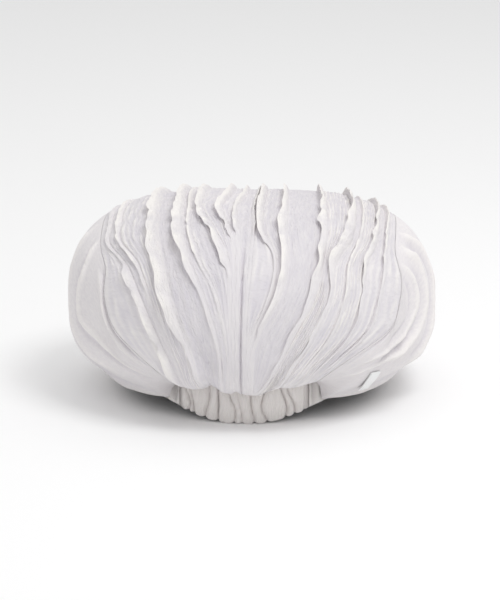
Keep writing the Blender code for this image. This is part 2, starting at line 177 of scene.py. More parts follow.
def seatOnBand(points):
    turn = np.degrees(np.arctan2(points[..., 0] / band["halfWidth"], -points[..., 1] / band["halfLength"]))
    return bandPoint(turn, bandTop(turn) + band["seatGap"], band["wall"] / 2 - band["seatWidth"])


def turnedIn(edge, out, seat, share):
    # the crown's lower edge on its way in to its seat on the headband: outer and inner points
    level, rise = np.array([1.0, 1.0, 0.0]), np.array([0.0, 0.0, 1.0])
    high = seat + (edge - seat) * (1 - share) ** crown["turnPower"]
    outer = (edge * (1 - share) + seat * share) * level + high * rise
    return outer, outer - out * crown["wall"] * (1 - share) + rise * crown["wall"] * share


class Ripple:
    # a smooth uneven wave along a fold, the same on each run
    def __init__(self, seed, lengths):
        random = np.random.default_rng(seed)
        self.waves = [
            (2 * math.pi / length, random.uniform(0, 2 * math.pi), random.uniform(0.6, 1.0))
            for length in lengths
        ]

    def __call__(self, at):
        total = sum(size * np.sin(turn * at + phase) for turn, phase, size in self.waves)
        return total / len(self.waves)


# in degrees along the fold, except the depth, which is a share of its height
notches = {"first": 6, "last": 190, "every": 17, "shift": 7, "width": (1.0, 2.2), "depth": (0.2, 0.6)}


class Notches:
    # short torn places along a fold's edge
    def __init__(self, seed):
        random = np.random.default_rng(seed)
        shift = notches["shift"]
        self.places = [
            (
                at + random.uniform(-shift, shift),
                random.uniform(*notches["width"]),
                random.uniform(*notches["depth"]),
            )
            for at in range(notches["first"], notches["last"], notches["every"])
        ]

    def __call__(self, at):
        return sum(deep * math.exp(-(((at - place) / wide) ** 2)) for place, wide, deep in self.places)


# Cloth materials: the strips are cool and darker, the folds ivory; the darker low colours are partly the
# cloth's own cool tone and partly painted shade
clothColumns = ("low", "high", "rib", "stretch", "depth", "weave", "rough")
clothRows = (
    ("tucked_crepe", (0.655, 0.628, 0.678), (0.89, 0.862, 0.838), 40.0, 7.0, 0.00105, 900.0, 0.92),
    ("plain_crepe", (0.67, 0.64, 0.68), (0.86, 0.83, 0.82), 60.0, 4.0, 0.00032, 900.0, 0.93),
    # the gathered band's dark low colour holds painted shade from the crown's overhang as well as the cloth's
    # warmer tone
    ("gathered_cloth", (0.57, 0.535, 0.53), (0.81, 0.775, 0.755), 80.0, 6.0, 0.0003, 1000.0, 0.94),
    ("band_cloth", (0.66, 0.63, 0.62), (0.84, 0.81, 0.79), 70.0, 4.0, 0.0002, 1000.0, 0.94),
    ("peak_cloth", (0.81, 0.80, 0.81), (0.88, 0.87, 0.86), 75.0, 7.0, 0.0003, 900.0, 0.92),
    ("label_tape", (0.84, 0.84, 0.84), (0.9, 0.9, 0.9), 160.0, 1.0, 0.00008, 1500.0, 0.6),
    ("thread", (0.80, 0.79, 0.77), (0.87, 0.86, 0.84), 200.0, 1.0, 0.00005, 2200.0, 0.7),
)
clothLooks = {row[0]: dict(zip(clothColumns, row[1:])) for row in clothRows}
clothShared = {
    "specular": 0.25,
    "sheen": 0.18,
    "sheenRough": 0.5,
    "ribRough": 0.62,
    "ribBend": 0.35,
    "streakAcross": 2.4,
    "streakAlong": 0.8,
    "streakBend": 0.6,
    "streakDepth": 0.75,
    "patchScale": 22.0,
    # the next two set how much the rib valleys are painted darker: painted shade
    "ribShadeWeight": 0.9,
    "ribShadeShift": -0.35,
    "patchTint": 0.35,
    "weaveDepth": 0.00012,
    "weaveStrength": 0.6,
}


def withInputs(node, **values):
    for name, value in values.items():
        node.inputs[name.replace("_", " ")].default_value = value
    return node


def wire(links, *pairs):
    for source, out, target, into in pairs:
        links.new(source.outputs[out], target.inputs[into])


def clothMaterial(name):
    look, shared = clothLooks[name], clothShared
    rib = look["rib"]
    material = bpy.data.materials.new(name)
    material.use_nodes = True
    nodes, links = material.node_tree.nodes, material.node_tree.links

    def add(kind, **values):
        return withInputs(nodes.new("ShaderNode" + kind), **values)

    def attribute(called):
        made = add("Attribute")
        made.attribute_name = called
        return made

    def reckon(operation, *numbers):
        # the numbers fill the inputs after the first
        made = add("Math")
        made.operation = operation
        for place, number in enumerate(numbers, 1):
            made.inputs[place].default_value = number
        return made

    shader = withInputs(
        nodes["Principled BSDF"],
        Roughness=look["rough"],
        Specular_IOR_Level=shared["specular"],
        Sheen_Weight=shared["sheen"],
        Sheen_Roughness=shared["sheenRough"],
    )
    grain = add("UVMap")
    grain.uv_map = "grain"
    place = add("TexCoord")
    stretch = add("Mapping", Scale=(rib, rib / look["stretch"], 1.0))
    ribs = add("TexNoise", Scale=1.0, Detail=3.0, Roughness=shared["ribRough"], Distortion=shared["ribBend"])
    shorter = add("Mapping", Scale=(rib * shared["streakAcross"], rib * shared["streakAlong"], 1.0))
    streaks = add("TexNoise", Scale=1.0, Detail=2.0, Distortion=shared["streakBend"])
    weave = add("TexNoise", Scale=look["weave"], Detail=2.0)
    patch = add("TexNoise", Scale=shared["patchScale"], Detail=2.0)
    # the rib noise darkens the colour in the rib valleys, painted shade; the patches add random tone on top
    # of it
    ribShade = reckon("MULTIPLY_ADD", shared["ribShadeWeight"], shared["ribShadeShift"])
    patchToneAndRibShade = reckon("MULTIPLY_ADD", shared["patchTint"])
    total = reckon("ADD")
    total.use_clamp = True
    colour = add("Mix")
    colour.data_type = "RGBA"
    withInputs(colour, A=(*look["low"], 1.0), B=(*look["high"], 1.0))
    easy = attribute("easy")
    coarse = add("Bump", Distance=look["depth"])
    short = add("Bump", Distance=look["depth"] * shared["streakDepth"])
    fine = add("Bump", Distance=shared["weaveDepth"], Strength=shared["weaveStrength"])
    wire(
        links,
        (grain, "UV", stretch, "Vector"),
        (stretch, "Vector", ribs, "Vector"),
        (grain, "UV", shorter, "Vector"),
        (shorter, "Vector", streaks, "Vector"),
        (place, "Object", weave, "Vector"),
        (place, "Object", patch, "Vector"),
        (ribs, "Fac", ribShade, 0),
        (patch, "Fac", patchToneAndRibShade, 0),
        (ribShade, 0, patchToneAndRibShade, 2),
        # the height mask: partly the cloth's own two tones, partly painted shade in hollows and painted light
        # on crests
        (attribute("toneAndShade"), "Fac", total, 0),
        (patchToneAndRibShade, 0, total, 1),
        (total, 0, colour, "Factor"),
        (colour, "Result", shader, "Base Color"),
        (easy, "Fac", coarse, "Strength"),
        (ribs, "Fac", coarse, "Height"),
        (easy, "Fac", short, "Strength"),
        (streaks, "Fac", short, "Height"),
        (coarse, "Normal", short, "Normal"),
        (weave, "Fac", fine, "Height"),
        (short, "Normal", fine, "Normal"),
        (fine, "Normal", shader, "Normal"),
    )
    return material


materials = {name: clothMaterial(name) for name in clothLooks}
print("materials made")


def zipped(first, second, shiftFirst, shiftSecond):
    # faces between two open lines of points that start and end together
    faces, i, j = [], 0, 0
    while i < len(first) - 1 or j < len(second) - 1:
        aheadFirst = first[i + 1] if i < len(first) - 1 else 2.0
        aheadSecond = second[j + 1] if j < len(second) - 1 else 2.0
        if aheadFirst <= aheadSecond:
            faces.append((shiftFirst + i, shiftFirst + i + 1, shiftSecond + j))
            i += 1
        else:
            faces.append((shiftFirst + i, shiftSecond + j + 1, shiftSecond + j))
            j += 1
    return faces


def shareOfWay(points):
    way = np.concatenate([[0.0], np.cumsum(np.linalg.norm(np.diff(points, axis=0), axis=1))])
    return way / way[-1]


def shell(name, outer, inner, material, grain, toneAndShade, stands, easy=None):
    # a closed wall between an outer and an inner sheet with the same number of rows
    # "easy" is less than one where the cloth is squeezed together, and calms the bumps there
    outer, inner = np.array(outer), np.array(inner)
    rows, wide, narrow = outer.shape[0], outer.shape[1], inner.shape[1]
    start = rows * wide
    points = np.concatenate([outer.reshape(-1, 3), inner.reshape(-1, 3)])
    faces = []
    for row in range(rows - 1):
        a = row * wide + np.arange(wide - 1)
        faces += np.stack([a, a + 1, a + wide + 1, a + wide], 1).tolist()
        a = start + row * narrow + np.arange(narrow - 1)
        faces += np.stack([a, a + narrow, a + narrow + 1, a + 1], 1).tolist()
        a, b = row * wide, start + row * narrow
        faces.append((a, a + wide, b + narrow, b))
        faces.append((a + wide - 1, b + narrow - 1, b + 2 * narrow - 1, a + 2 * wide - 1))
    for row in (0, rows - 1):
        joined = zipped(shareOfWay(outer[row]), shareOfWay(inner[row]), row * wide, start + row * narrow)
        faces += joined if row else [face[::-1] for face in joined]
    mesh = bpy.data.meshes.new(name)
    mesh.from_pydata(toFrame(points).tolist(), [], faces)
    mesh.validate()
    makeOutward(mesh)
    mesh.shade_smooth()
    mesh.set_sharp_from_angle(angle=math.radians(75))
    grainOf = np.zeros((len(points), 2))
    grainOf[:start] = np.array(grain).reshape(-1, 2)
    grainOf[start:, 0] = np.tile(np.linspace(-1, 1, narrow), rows)
    grainOf[start:, 1] = np.repeat(np.linspace(0, 4, rows), narrow)
    layer = mesh.uv_layers.new(name="grain")
    corner = np.zeros(len(mesh.loops), dtype=np.int32)
    mesh.loops.foreach_get("vertex_index", corner)
    layer.data.foreach_set("uv", grainOf[corner].astype(np.float32).ravel())
    # the height mask lightens raised cloth and darkens low cloth: partly the cloth's own two tones, partly
    # painted shade and painted light
    for called, values, inside in (("toneAndShade", np.clip(toneAndShade, 0, 1), 0.0), ("easy", easy, 1.0)):
        marked = np.full(len(points), inside, dtype=np.float32)
        if values is not None:
            marked[:start] = np.array(values).reshape(-1)
        mesh.attributes.new(called, "FLOAT", "POINT").data.foreach_set("value", marked)
    return asPiece(name, mesh, material, stands)


def makeOutward(mesh):
    # turns every face outwards where the closed form came out inside out
    points = np.zeros(len(mesh.vertices) * 3)
    mesh.vertices.foreach_get("co", points)
    points = points.reshape(-1, 3)
    mesh.calc_loop_triangles()
    corners = np.zeros(len(mesh.loop_triangles) * 3, dtype=np.int32)
    mesh.loop_triangles.foreach_get("vertices", corners)
    a, b, c = (points[corners.reshape(-1, 3)[:, n]] for n in range(3))
    if np.einsum("ij,ij->i", a, np.cross(b, c)).sum() < 0:
        mesh.flip_normals()


def inScene(name, data):
    thing = bpy.data.objects.new(name, data)
    bpy.context.scene.collection.objects.link(thing)
    return thing


def asPiece(name, mesh, material, stands):
    piece = inScene(name, mesh)
    mesh.materials.clear()
    mesh.materials.append(materials[material])
    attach(piece, "root")
    if stands:
        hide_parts(*stands)
    return piece


# The top panel: its tucks, strips and soft hollows
topPanel = {
    "stations": (-12, 4, 20, 32, 46, 66, 90, 140, 194),
    "leftSeam": (-50, -86, -97, -97, -102, -104, -104, -96, -62),
    "rightSeam": (53, 97, 107, 108, 104, 104, 104, 96, 62),
    "backRows": 146,
    "frontRows": 28,
    "fineTo": 122.0,
    "turnRows": 7,
    "tuckColumns": 9,
    "foot": 1.5,
    "edge": 0.45,
    "topGain": 0.32,
    "topAngle": 82.0,
    "topSpread": 26.0,
    "calmFrom": 64.0,
    "growOver": 11.0,
    "pleatShare": 0.78,
    "pleatWander": 0.30,
    "pleatWidth": 0.32,
    "dome": 0.8,
    "dartTop": 43.0,
    "dartFade": 14.0,
    "dartDepth": 1.7,
    "dartWidth": 4.0,
    "crinkle": 0.16,
    "seamFade": 6.0,
    "liningColumns": 70,
    "liningGap": 1.2,
    "grainAcross": 0.01,
    "grainAlong": 0.022,
    # name, stand, lean, start, wander of the crest, edge raggedness, where it stands in full and its share
    # elsewhere, then its places across at the stations
    "tucks": (
        ("leftOuter", 2.8, -4.2, -16, 1.0, 0.25, (-16, 30), 0.45,
         (-41, -57, -72, -82, -96, -98, -99, -88, -57)),
        ("leftSecond", 2.2, -1.6, 10, 0.8, 0.30, (24, 200), 0.40,
         (-36, -51, -65, -74, -88, -91, -91, -81, -52)),
        ("leftFlap", 4.8, -6.5, -16, 1.6, 0.30, (6, 200), 0.38,
         (-27, -38, -50, -56, -62, -64, -65, -58, -40)),
        ("leftInner", 4.8, -5.5, -12, 1.2, 0.28, (25, 200), 0.30,
         (-13, -16, -28, -38, -44, -46, -48, -43, -31)),
        ("dartLeft", 2.0, -1.2, 8, 0.6, 0.25, (30, 200), 0.60,
         (-9.4, -9.6, -19, -31, -39, -41, -43, -38, -27)),
        ("dartUpper", 4.2, -4.4, 22, 1.6, 0.35, (26, 200), 0.40,
         (-7.0, -7.2, -8.0, -11, -21, -33, -34, -30, -21)),
        ("topCurl", 4.4, -3.8, 40, 1.6, 0.35, (42, 200), 0.40,
         (-4.8, -5.0, -5.2, -6.0, -10, -19, -15, -13, -10)),
        ("topLeft", 3.6, -2.2, 42, 1.0, 0.35, (44, 200), 0.40,
         (-2.6, -2.7, -2.8, -3.2, -5.6, -8.5, -4, -4, -3)),
        ("topRight", 3.2, 1.2, 38, 1.0, 0.35, (40, 200), 0.40,
         (2.6, 2.8, 4.0, 5.0, 5.4, 3.5, 5, 4, 3)),
        ("dartRight", 4.6, -4.8, 8, 0.9, 0.25, (40, 200), 0.42,
         (4.8, 5.4, 20, 22, 12.5, 10, 10, 9, 8)),
        ("rightFirst", 4.8, -4.8, 2, 0.9, 0.22, (9, 200), 0.35,
         (7.2, 9.0, 26, 30, 28, 27, 26, 23, 17)),
        ("rightSecond", 5.6, -5.5, -14, 1.8, 0.32, (23, 200), 0.45,
         (11, 31, 49, 53, 56, 55, 52, 47, 33)),
        ("rightThird", 6.4, -6.0, -14, 1.7, 0.30, (30, 200), 0.38,
         (24, 46, 60, 62, 72, 75, 73, 65, 43)),
        ("rightPleat", 2.2, -1.4, -10, 0.6, 0.30, (20, 200), 0.80,
         (32, 58, 70, 72, 79, 81, 80, 71, 47)),
        ("rightFourth", 5.0, -3.6, -12, 1.3, 0.32, (28, 200), 0.45,
         (40, 71, 82, 83, 89, 91, 91, 81, 52)),
        ("rightOuter", 3.2, -2.0, -10, 0.8, 0.30, (36, 200), 0.60,
         (46, 82, 93, 96, 97, 98, 98, 88, 57)),
    ),
    # columns, small pleats, their height, and how far the strip sinks, from the left seam to the right one
    "strips": (
        (18, 5, 0.8, 0.2), (8, 2, 0.8, 0.3), (32, 6, 1.2, 0.5), (18, 3, 0.9, 1.5),
        (10, 2, 0.9, 0.6), (18, 4, 0.8, 0.6), (20, 4, 0.9, 0.5), (14, 3, 0.9, 0.4),
        (6, 1, 0.5, 0.4), (6, 1, 0.5, 0.4), (12, 3, 1.1, 0.6), (22, 4, 0.9, 0.6),
        (26, 2, 0.4, 0.9), (30, 7, 1.5, 0.5), (14, 4, 1.3, 0.5), (14, 4, 1.4, 0.4),
        (10, 2, 1.0, 0.3), (10, 2, 0.8, 0.2),
    ),
    # the hem over the gathered band: places across, and how many degrees the edge is drawn up there
    "hemPlaces": (-50, -43, -37, -28, -22.5, -18, -13, -8, -4, -1, 7, 13, 19, 28, 33, 40, 48, 53),
    "hemRise": (2.2, 1.6, 1.3, 2.0, 3.8, 2.2, 0.3, 0.0, 1.2, 0.0, -0.5, -0.8, 1.4, 3.0, 2.2, 2.4, 3.2, 3.4),
    "hemRoll": 1.5,
    # name, across, angle, half width across, half angle along, rise
    "hollows": (
        ("pocket", 78, 47, 8, 9, -3.2),
        ("leftValley", -55, 30, 9, 14, -1.6),
        ("dipOverBand", -21, -4, 9, 5, -3.2),
        ("lipOverBand", -33, -9, 9, 5, 2.6),
        ("rightLip", 30, -8, 12, 5, 1.8),
        ("rightSwell", 40, 45, 9, 26, 1.2),
    ),
}


def smoothRun(t, first, last, leaving, arriving):
    start = (1 + 2 * t) * (1 - t) ** 2 * first + t * (1 - t) ** 2 * leaving
    return start + t * t * (3 - 2 * t) * last + t * t * (t - 1) * arriving


def smoothBetween(at, places):
    stations, places = np.array(topPanel["stations"], float), np.array(places, float)
    slopes = np.gradient(places, stations)
    at = np.clip(np.asarray(at, float), stations[0], stations[-1])
    left = np.clip(np.searchsorted(stations, at, side="right") - 1, 0, len(stations) - 2)
    step = stations[left + 1] - stations[left]
    t = (at - stations[left]) / step
    return smoothRun(t, places[left], places[left + 1], step * slopes[left], step * slopes[left + 1])


def hemDrawn(acrossAtHem, angle):
    # degrees by which the crown's back edge is drawn up over the band, fading upwards
    return np.interp(acrossAtHem, topPanel["hemPlaces"], topPanel["hemRise"]) * ease((12 - angle) / 22)


def hollows(across, angle):
    rise = np.zeros(np.broadcast(across, angle).shape)
    for _name, x, at, width, spread, height in topPanel["hollows"]:
        rise = rise + height * np.exp(-(((across - x) / width) ** 2) - ((angle - at) / spread) ** 2)
    return rise


def tuckWaves():
    waves = []
    for number, _tuck in enumerate(topPanel["tucks"]):
        waves.append({
            "height": Ripple(100 + number, (46.0, 25.0, 15.0, 9.0)),
            "side": Ripple(200 + number, (52.0, 29.0, 16.0, 9.5)),
            "lean": Ripple(300 + number, (61.0, 33.0, 18.0)),
            "notches": Notches(400 + number),
        })
    return waves


def flapSection(height, lean, foot, grown):
    # the tuck's cut across, a leaf that curls over: sideways places and heights
    # from its left foot over the crest to its right foot
    p = np.linspace(-1, 1, topPanel["tuckColumns"])
    q = 1 - np.abs(p) ** 1.5
    edge = min(topPanel["edge"], foot * 0.6)
    thin = edge * np.sqrt(np.clip(1 - q**6, 0, 1)) + (foot - edge) * (1 - q) ** 2.2
    side = np.sign(p) * (grown * thin + (1 - grown) * foot * np.abs(p))
    over = np.where(p > 0, 0.35 * np.sin(math.pi * q), 0.0) * grown
    return side + lean * q**1.5 * grown, height * q**0.8 + over


def topRow(angle, waves, stripWaves):
    tucks = topPanel["tucks"]
    centres = [float(smoothBetween(angle, tuck[-1])) for tuck in tucks]
    left = float(smoothBetween(angle, topPanel["leftSeam"]))
    right = float(smoothBetween(angle, topPanel["rightSeam"]))
    middle = sum(centre < 0 for centre in centres)
    marks = [(centre, number) for number, centre in enumerate(centres)]
    marks.insert(middle, (0.0, -1))
    levels = []
    for order, tuck in enumerate(tucks):
        leaning, (fullFrom, fullTo), low = tuck[2], tuck[6], tuck[7]
        full = float(ease((angle - fullFrom + 5) / 10) * ease((fullTo - angle + 5) / 10))
        levels.append(low + (1 - low) * full)
        # the crest lies on the drawn line, so a leaf that leans left has its root right of it
        after = centres[order + 1] if order + 1 < len(tucks) else right
        if leaning < -1 and centres[order] * after > 0:
            centres[order] += min(-0.8 * leaning * levels[order], 0.32 * (after - centres[order]))
    dartNow = topPanel["dartDepth"] * float(ease((topPanel["dartTop"] - angle) / topPanel["dartFade"]))
    across, height, lean, toneAndShade, foot = [], [], [], [], []
    for order, (centre, number) in enumerate(marks):
        before = marks[order - 1][0] if order else left
        after = marks[order + 1][0] if order + 1 < len(marks) else right
        foot.append(min(topPanel["foot"], 0.36 * (centre - before), 0.36 * (after - centre)))
    for order in range(len(marks) + 1):
        columns, pleats, pleatHeight, sink = topPanel["strips"][order]
        fromX = marks[order - 1][0] + foot[order - 1] if order else left
        toX = marks[order][0] - foot[order] if order < len(marks) else right
        share = np.linspace(0, 1, columns + 2)
        if order:
            share = share[1:]
        if order < len(marks):
            share = share[:-1]
        wide = toX - fromX
        fullness = min(1.0, wide / 7.0) ** 2
        rise = -sink * fullness * np.sin(math.pi * share) ** 0.7
        dome = topPanel["dome"] * min(1.0, wide / 14.0) * np.sin(math.pi * share)
        for pleat in range(pleats):
            wave = stripWaves[order][pleat]
            at = (pleat + 0.5 + topPanel["pleatWander"] * float(wave(angle))) / pleats
            strong = 0.35 + 0.65 * float(ease(0.5 + 0.9 * wave(angle + 61.0)))
            breadth = min(0.12, topPanel["pleatWidth"] / pleats)
            swell = topPanel["pleatShare"] * pleatHeight * strong * fullness
            rise = rise + swell * np.exp(-(((share - at) / breadth) ** 2))
        across += (fromX + wide * share).tolist()
        height += (rise + dome).tolist()
        lean += [0.0] * len(share)
        # the strips are painted darker where they sink and lighter on their small pleats: painted shade and
        # light
        toneAndShade += np.clip(0.14 + 0.7 * rise, 0.0, 0.8).tolist()
        if order == len(marks):
            break
        centre, number = marks[order]
        if number < 0:
            p = np.linspace(-1, 1, topPanel["tuckColumns"])
            across += (centre + p * foot[order]).tolist()
            height += (-dartNow * (1 - np.abs(p)) ** 0.8).tolist()
            lean += [0.0] * len(p)
            # the dart's groove is painted at the darkest: painted shade
            toneAndShade += [0.0] * len(p)
            continue
        _name, stand, leaning, start, wander, ragged, _full, _low, _places = tucks[number]
        toFront = ease((topPanel["stations"][-1] - angle) / 30.0)
        grow = float(ease((angle - start) / topPanel["growOver"]) * toFront)
        wave = waves[number]
        overTop = (angle - topPanel["topAngle"]) / topPanel["topSpread"]
        gain = 1 + topPanel["topGain"] * math.exp(-(overTop**2))
        # over the top, where the crests are seen against the light, they run straighter
        calm = 1 - 0.85 * float(ease((angle - topPanel["calmFrom"]) / 16))
        uneven = float(ease(0.5 + 1.1 * wave["height"](angle)))
        tall = stand * gain * grow * (1 - ragged * (0.5 + 0.5 * calm) * uneven)
        torn = min(0.8, wave["notches"](angle)) * (0.12 + 0.88 * float(ease((70 - angle) / 20)))
        tall = tall * levels[number] * (1 - torn)
        leaning = leaning * levels[number] * (0.55 + 0.45 * calm)
        leanNow = leaning * (1 + 0.5 * calm * float(wave["lean"](angle)))
        leanNow = leanNow + wander * calm * float(wave["side"](angle))
        leanNow = max(leanNow, -0.62 * (centre - (marks[order - 1][0] if order else left)))
        grown = min(1.0, tall / 2.0)
        side, up = flapSection(tall, leanNow, foot[order], grown)
        across += [centre] * len(side)
        lean += side.tolist()
        height += up.tolist()
        # the crests are painted ivory by height: partly the folds' own cream edge, partly painted highlight,
        # with painted shade low on the leaf
        toneAndShade += (0.20 + 0.70 * (up / stand) ** 3).tolist()
    return [np.array(values) for values in (across, height, lean, toneAndShade)]


def crownAngles(backRows, frontRows):
    # finer rows over the back, which is seen, than over the front
    first, fineTo, last = topPanel["stations"][0], topPanel["fineTo"], topPanel["stations"][-1]
    return np.concatenate([np.linspace(first, fineTo, backRows), np.linspace(fineTo + 2, last, frontRows)])


def buildTopPanel():
    waves = tuckWaves()
    stripWaves = [
        [Ripple(500 + 20 * order + pleat, (53.0, 27.0, 14.0)) for pleat in range(strip[1])]
        for order, strip in enumerate(topPanel["strips"])
    ]
    angles = crownAngles(topPanel["backRows"], topPanel["frontRows"])
    rows = [topRow(angle, waves, stripWaves) for angle in angles]
    across, height, lean, toneAndShade = (np.array(values) for values in zip(*rows))
    angle = np.repeat(angles[:, None], across.shape[1], 1)
    foot = crownPoint(across + lean * 0.5, angle + hemDrawn(across[0], angle))
    out = outward(foot)
    fade = topPanel["seamFade"]
    inside = ease((across - across[:, :1]) / fade) * ease((across[:, -1:] - across) / fade)
    soft = hollows(across, angle) * inside
    crinkle = topPanel["crinkle"] * np.sin(across * 2.1 + 0.7 * np.sin(angle * 0.31))
    crinkle = crinkle * np.sin(angle * 0.9 + across * 0.5) * inside
    roll = topPanel["hemRoll"] * np.exp(-(((angle + 8) / 4) ** 2))
    soft = soft + roll * (0.6 + 0.4 * np.sin(across * 0.33)) * inside
    outer = foot + out * (height * (0.25 + 0.75 * inside) + soft + crinkle)[..., None]
    outer[..., 0] += lean * 0.5
    lining = np.unique(np.linspace(0, across.shape[1] - 1, topPanel["liningColumns"]).astype(int))
    dart = topPanel["dartDepth"] * np.exp(-((across / topPanel["dartWidth"]) ** 2)) * (angle < 60)
    sunk = np.minimum(soft, 0.0) - crown["wall"] - dart
    inner = foot + out * (sunk - topPanel["liningGap"] * inside)[..., None]
    inner = inner[:, lining]
    sample = outer[np.searchsorted(angles, 50.0)]
    usual = np.linalg.norm(np.diff(sample, axis=0), axis=1)
    way = np.concatenate([[0.0], np.cumsum(usual)])
    grainAcross = np.repeat(topPanel["grainAcross"] * way[None], len(angles), 0)
    grain = list(np.stack([grainAcross, topPanel["grainAlong"] * angle], -1))
    spacing = np.linalg.norm(np.diff(outer, axis=1), axis=-1) / usual
    spacing = np.clip(np.concatenate([spacing[:, :1], spacing], 1), 0, 1) ** 1.5
    easy = list(0.9 * sum(np.roll(spacing, shift, 1) for shift in range(-4, 5)) / 9)
    outer, inner, toneAndShade = list(outer), list(inner), list(toneAndShade)
    for end in (0, -1):
        edgeFoot, edgeOut = foot[end], out[end]
        seat = seatOnBand(edgeFoot)
        lift = (height[end] * (0.25 + 0.75 * inside[end]) + soft[end])[:, None]
        for share in np.linspace(0, 1, topPanel["turnRows"] + 1)[1:]:
            face, under = turnedIn(edgeFoot, edgeOut, seat, share)
            face = face + edgeOut * lift * (1 - share) ** 2
            under = under + edgeOut * np.minimum(lift, 0.0)
            further = 0.05 * share if end else -0.05 * share
            rowGrain = np.stack([grain[end][:, 0], grain[end][:, 1] + further], -1)
            fresh = (face, under[lining], toneAndShade[end], easy[end], rowGrain)
            for sheet, row in zip((outer, inner, toneAndShade, easy, grain), fresh):
                sheet.insert(len(sheet) if end else 0, row)
    return shell("topPanel", outer, inner, "tucked_crepe", grain, toneAndShade, ("top_panel",), easy)


# The side panels and the long soft folds that sweep round under them
sidePanels = {
    "backColumns": 112,
    "frontColumns": 30,
    "bodyRows": 74,
    "turnRows": 8,
    "underStart": 0.86,
    "underSpread": 1.05,
    "cornerShare": 0.07,
    "gap": 0.3,
    "perShare": 300.0,
    "perT": 130.0,
    "crinkle": 0.35,
    # name, side (0 for both), rise, half width, then the fold's way as places in per cent of the panel:
    # along from the back, and down from the seam
    "folds": (
        ("leftSlit", -1, -2.4, 2.8, ((0, 6), (6, 6), (12, 6), (18, 5), (24, 2))),
        ("leftSeamRoll", -1, 1.6, 4.0, ((2, 13), (8, 14), (14, 13), (20, 11), (25, 5))),
        ("leftRoll", -1, 3.2, 3.0,
         ((34, 0), (32, 7), (31, 17), (32, 29), (30, 39), (21, 40), (11, 34), (1, 29))),
        ("leftCrease", -1, -2.4, 3.2,
         ((36, 2), (34.5, 9), (34, 18), (35, 31), (33, 43), (22, 45), (11, 40), (1, 35))),
        ("leftOuterFold", -1, 2.2, 4.5,
         ((46, 2), (44, 12), (43, 26), (41, 40), (35, 52), (26, 58), (14, 56))),
        ("leftOuterCrease", -1, -1.8, 4.5, ((50, 6), (49, 20), (47, 36), (43, 50), (34, 62), (20, 66))),
        ("rightSlit", 1, -1.6, 2.6, ((0, 5), (6, 5), (12, 4), (17, 2))),
        ("rightFoldA", 1, 3.4, 3.0,
         ((38, 0), (42, 8), (46.5, 16), (48.5, 27), (48, 41), (45, 52), (40, 60), (31, 65))),
        ("rightCreaseA", 1, -2.4, 3.2,
         ((36, 3), (40, 11), (43.5, 18), (45, 28), (44.5, 40), (42, 49), (37, 56), (28, 60))),
        ("rightFoldB", 1, 3.8, 2.8,
         ((29, 1), (35, 10), (38.5, 21), (38.5, 36), (33, 46), (23, 47), (15, 41), (7, 34), (0, 29))),
        ("rightCreaseB", 1, -2.2, 2.6,
         ((31, 11), (35, 21), (35, 34), (30, 42), (22, 42), (14, 36), (6, 28))),
        ("rightFoldC", 1, 3.0, 2.4,
         ((26, 2), (30, 12), (32.5, 22), (31.5, 33), (25, 38), (17, 33), (10, 25), (3, 18))),
        ("rightShortRib", 1, 1.6, 1.8, ((33, 2), (34.5, 6), (36.5, 12), (38, 16))),
        ("rightCreaseC", 1, -1.8, 2.4, ((24, 5), (27.5, 14), (28.5, 23), (26, 31), (18, 27), (10, 19))),
        ("frontUpper", 0, 1.4, 6.0, ((62, 6), (72, 16), (82, 20), (95, 20))),
        ("lowerFold", 0, -1.6, 5.0, ((6, 68), (20, 70), (40, 71), (60, 69), (80, 66), (95, 62))),
        ("droopingRoll", 0, 2.2, 9.0, ((2, 82), (25, 82), (50, 82), (75, 81), (98, 80))),
    ),
}
label = {
    "turn": 45.0,
    "rise": -12.0,
    "length": 17.0,
    "width": 9.0,
    "thickness": 0.9,
    "lift": 0.8,
    "along": (-0.33, 0.22, -0.9),
    "curl": 1.3,
    "wave": 0.35,
    "hem": 0.25,
    "edge": 0.12,
}


def wayOut(turn, rise):
    turn, rise = math.radians(turn), math.radians(rise)
    return math.sin(turn) * math.cos(rise), -math.cos(turn) * math.cos(rise), math.sin(rise)


def labelMiddle():
    return onCrown(np.array(wayOut(label["turn"], label["rise"])))


def underEdge(turn):
    spread = sidePanels["underSpread"]
    plan = bandPoint(turn, crown["middle"][2], band["wall"]) * np.array([spread, spread, 1.0])
    return throughCrown(plan - crown["middle"], np.array([0.0, 0.0, -1.0]), crown["underDrop"])


def slerp(a, b, t):
    angle = np.arccos(np.clip((a * b).sum(-1, keepdims=True), -1, 1))
    flat = angle < 1e-4
    angle = np.where(flat, 1.0, angle)
    return np.where(flat, a, (np.sin((1 - t) * angle) * a + np.sin(t * angle) * b) / np.sin(angle))


def foldWay(places):
    # a smooth way through the listed places, as points in millimetres on the opened-out panel
    places = np.array(places, float) / 100 * (sidePanels["perShare"], sidePanels["perT"])
    slopes = np.gradient(places, axis=0)
    t = np.linspace(0, 1, 9)[:-1, None]
    runs = []
    for at in range(len(places) - 1):
        runs.append(smoothRun(t, places[at], places[at + 1], slopes[at], slopes[at + 1]))
    return np.concatenate(runs + [places[-1:]])


def sideFolds(t, share, side, ways, waves):
    rise = np.zeros(share.shape)
    here = np.stack([share * sidePanels["perShare"], 0 * share + t * sidePanels["perT"]], -1)
    for number, (_name, only, height, width, _places) in enumerate(sidePanels["folds"]):
        if only and only != side:
            continue
        way = ways[number]
        along, away = way[1:] - way[:-1], here[:, None] - way[None, :-1]
        part = np.clip((away * along).sum(-1) / (along**2).sum(-1), 0, 1)
        apart = np.linalg.norm(away - part[..., None] * along, axis=-1)
        nearest = apart.argmin(1)
        distance = apart[np.arange(len(share)), nearest]
        done = (nearest + part[np.arange(len(share)), nearest]) / len(along)
        strong = (0.8 + 0.35 * waves[number](done * 90 + 40)) * ease(done * 7) * ease((1 - done) * 7)
        spread = width * (0.9 + 0.25 * waves[number](done * 120 + 90))
        rise = rise + height * strong * np.exp(-((distance / spread) ** 2))
    return rise


